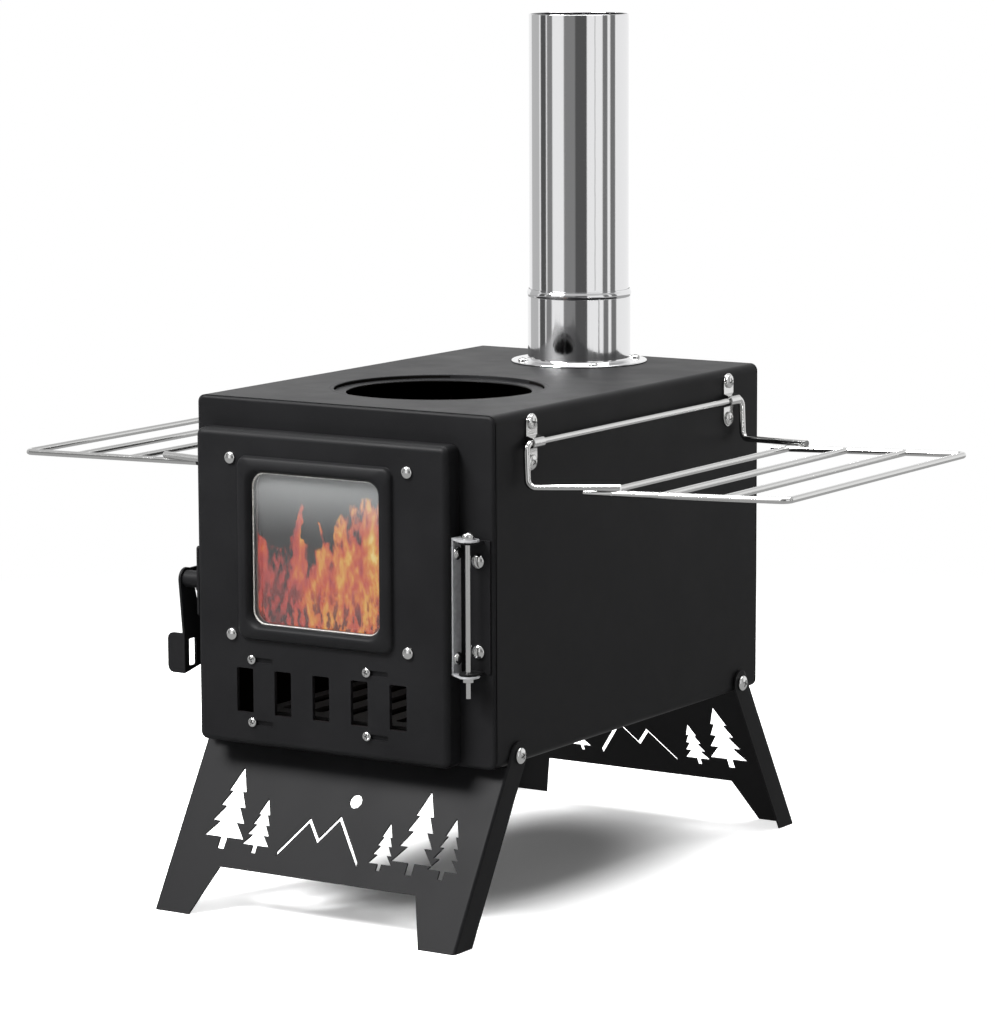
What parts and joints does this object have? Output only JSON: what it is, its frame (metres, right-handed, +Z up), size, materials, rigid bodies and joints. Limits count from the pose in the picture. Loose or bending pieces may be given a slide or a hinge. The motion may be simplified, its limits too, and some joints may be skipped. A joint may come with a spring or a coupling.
{
  "type": "tent wood stove",
  "caption": "Folding tent wood stove with a glazed door, air damper, lever latch, side racks, folding leg panels, cooking hole and chimney pipe.",
  "frame": {"origin": "on the ground, midway between the four feet, under the middle of the firebox", "axes": "+Z up; -Y out of the door; +X towards the hinge side"},
  "size_m": [0.6922, 0.5148, 0.665],
  "materials": {
    "black_paint": "satin heat-resistant black paint",
    "stainless": "polished stainless steel",
    "plated_steel": "bright nickel plate",
    "zinc_steel": "dull zinc plate",
    "ceramic_glass": "clear fire glass with a grey haze",
    "glass_rope": "woven glass fibre",
    "cast_iron": "as cast, sooty"
  },
  "bodies": {
    "stove": {"body_wrap": "black_paint", "front_plate": "black_paint", "back_plate": "black_paint", "flue_collar": "stainless", "flue_screw_1": "plated_steel", "flue_screw_2": "plated_steel", "flue_screw_3": "plated_steel", "flue_screw_4": "plated_steel", "rack_clip_right_front": "plated_steel", "rack_clip_right_rear": "plated_steel", "rack_clip_left_front": "plated_steel", "rack_clip_left_rear": "plated_steel", "rack_screw_right_front_lower": "plated_steel", "rack_screw_right_front_upper": "plated_steel", "rack_screw_right_rear_lower": "plated_steel", "rack_screw_right_rear_upper": "plated_steel", "rack_screw_left_front_lower": "plated_steel", "rack_screw_left_front_upper": "plated_steel", "rack_screw_left_rear_lower": "plated_steel", "rack_screw_left_rear_upper": "plated_steel", "body_hinge_bracket": "black_paint", "body_hinge_rivet_upper": "plated_steel", "body_hinge_rivet_lower": "plated_steel", "latch_keeper": "plated_steel", "leg_bolt_front_right": "plated_steel", "leg_bolt_front_left": "plated_steel", "leg_bolt_rear_right": "plated_steel", "leg_bolt_rear_left": "plated_steel"},
    "door": {"door_pan": "black_paint", "glass_gasket": "glass_rope", "window_glass": "ceramic_glass", "window_frame": "zinc_steel", "window_bolt_1": "plated_steel", "window_bolt_2": "plated_steel", "window_bolt_3": "plated_steel", "window_bolt_4": "plated_steel", "door_rope_seal": "glass_rope", "door_hinge_bracket": "zinc_steel", "door_hinge_rivet_upper": "plated_steel", "door_hinge_rivet_lower": "plated_steel", "hinge_bolt": "plated_steel", "hinge_nut": "plated_steel", "latch_bracket": "black_paint", "latch_rivet_upper": "black_paint", "latch_rivet_lower": "black_paint", "latch_bolt": "black_paint"},
    "damper": {"damper_plate": "zinc_steel", "damper_screw_1": "plated_steel", "damper_screw_2": "plated_steel", "damper_screw_3": "plated_steel", "damper_screw_4": "plated_steel"},
    "latch": {"latch_lever": "black_paint"},
    "right_rack": {"right_rack": "plated_steel"},
    "left_rack": {"left_rack": "plated_steel"},
    "front_legs": {"front_legs": "black_paint"},
    "rear_legs": {"rear_legs": "black_paint"},
    "pipe": {"chimney_pipe": "stainless"},
    "grate": {"fire_grate": "cast_iron"}
  },
  "joints": [
    {"name": "door_swing", "type": "hinge", "parent": "stove", "child": "door", "pos_m": [0.118, -0.2094, 0.2465], "axis": [0, 0, 1], "range_deg": [0, 160]},
    {"name": "latch_turn", "type": "hinge", "parent": "door", "child": "latch", "pos_m": [-0.14, -0.205, 0.2465], "axis": [1, 0, 0], "range_deg": [-25, 10]},
    {"name": "air_damper", "type": "slide", "parent": "door", "child": "damper", "axis": [1, 0, 0], "range_m": [0, 0.017]},
    {"name": "right_rack_fold", "type": "hinge", "parent": "stove", "child": "right_rack", "pos_m": [0.1379, 0, 0.363], "axis": [0, -1, 0], "range_deg": [0, 105]},
    {"name": "left_rack_fold", "type": "hinge", "parent": "stove", "child": "left_rack", "pos_m": [-0.1379, 0, 0.363], "axis": [0, 1, 0], "range_deg": [0, 105]},
    {"name": "front_legs_fold", "type": "hinge", "parent": "stove", "child": "front_legs", "pos_m": [0, -0.1675, 0.132], "axis": [1, 0, 0], "range_deg": [0, 120]},
    {"name": "rear_legs_fold", "type": "hinge", "parent": "stove", "child": "rear_legs", "pos_m": [0, 0.1675, 0.132], "axis": [-1, 0, 0], "range_deg": [0, 120]},
    {"name": "pipe_lift", "type": "slide", "parent": "stove", "child": "pipe", "axis": [0, 0, 1], "range_m": [0, 0.06]},
    {"name": "grate_lift", "type": "slide", "parent": "stove", "child": "grate", "axis": [0, 0, 1], "range_m": [0, 0.04]}
  ]
}
